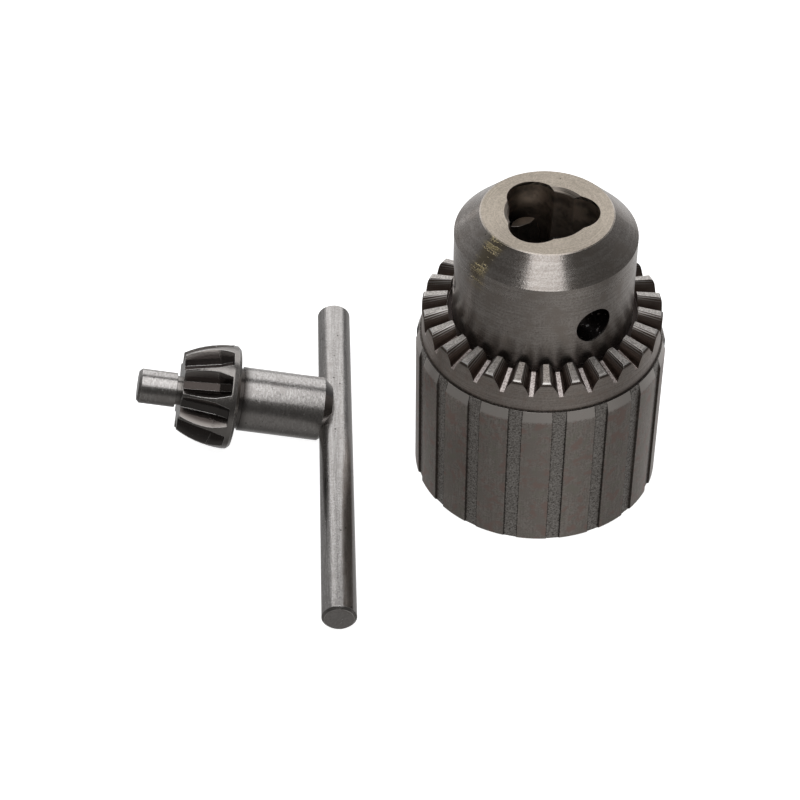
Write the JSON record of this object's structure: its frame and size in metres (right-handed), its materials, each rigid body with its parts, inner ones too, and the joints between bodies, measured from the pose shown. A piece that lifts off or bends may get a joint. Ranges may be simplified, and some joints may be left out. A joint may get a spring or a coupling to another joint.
{
  "type": "drill chuck",
  "caption": "Keyed drill chuck: a grooved sleeve with a ring gear turns a split nut that slides the jaws, with its T-handled pinion key lying beside it.",
  "frame": {"origin": "centre of the chuck's rear face, at the mouth of the threaded spindle hole", "axes": "+Z along the chuck's axis from the rear face to the nose; +X through the middle of jaw_1's bore; the key lies on the -X side"},
  "size_m": [0.0931, 0.0742, 0.0555],
  "materials": {
    "body_steel": "satin turned",
    "sleeve_steel": "satin turned lands with cast grooves",
    "nut_steel": "machined, oiled",
    "jaw_steel": "hardened and ground",
    "key_steel": "bright turned",
    "bar_steel": "bright drawn"
  },
  "bodies": {
    "chuck_body": {"body": "body_steel"},
    "sleeve_set": {"sleeve": "sleeve_steel", "nut_half_a": "nut_steel", "nut_half_b": "nut_steel"},
    "jaw_1": {"jaw_1": "jaw_steel"},
    "jaw_2": {"jaw_2": "jaw_steel"},
    "jaw_3": {"jaw_3": "jaw_steel"},
    "key": {"key_shank": "key_steel", "key_handle": "bar_steel"}
  },
  "joints": [
    {"name": "sleeve_spin", "type": "hinge", "parent": "chuck_body", "child": "sleeve_set", "pos_m": [0, 0, 0], "axis": [0, 0, -1], "range_deg": [0, 3077.07]},
    {"name": "jaw_1_slide", "type": "slide", "parent": "chuck_body", "child": "jaw_1", "axis": [-0.2164, 0, 0.9763], "range_m": [0, 0.02565]},
    {"name": "jaw_2_slide", "type": "slide", "parent": "chuck_body", "child": "jaw_2", "axis": [0.1082, -0.1874, 0.9763], "range_m": [0, 0.02565]},
    {"name": "jaw_3_slide", "type": "slide", "parent": "chuck_body", "child": "jaw_3", "axis": [0.1082, 0.1874, 0.9763], "range_m": [0, 0.02565]},
    {"name": "key_lift", "type": "slide", "parent": "chuck_body", "child": "key", "axis": [0, 0, 1], "range_m": [0, 0.1]}
  ],
  "couplings": [
    {"joint": "jaw_1_slide", "follows": "sleeve_spin", "m_per_rad": 0.00047746},
    {"joint": "jaw_2_slide", "follows": "sleeve_spin", "m_per_rad": 0.00047746},
    {"joint": "jaw_3_slide", "follows": "sleeve_spin", "m_per_rad": 0.00047746}
  ]
}
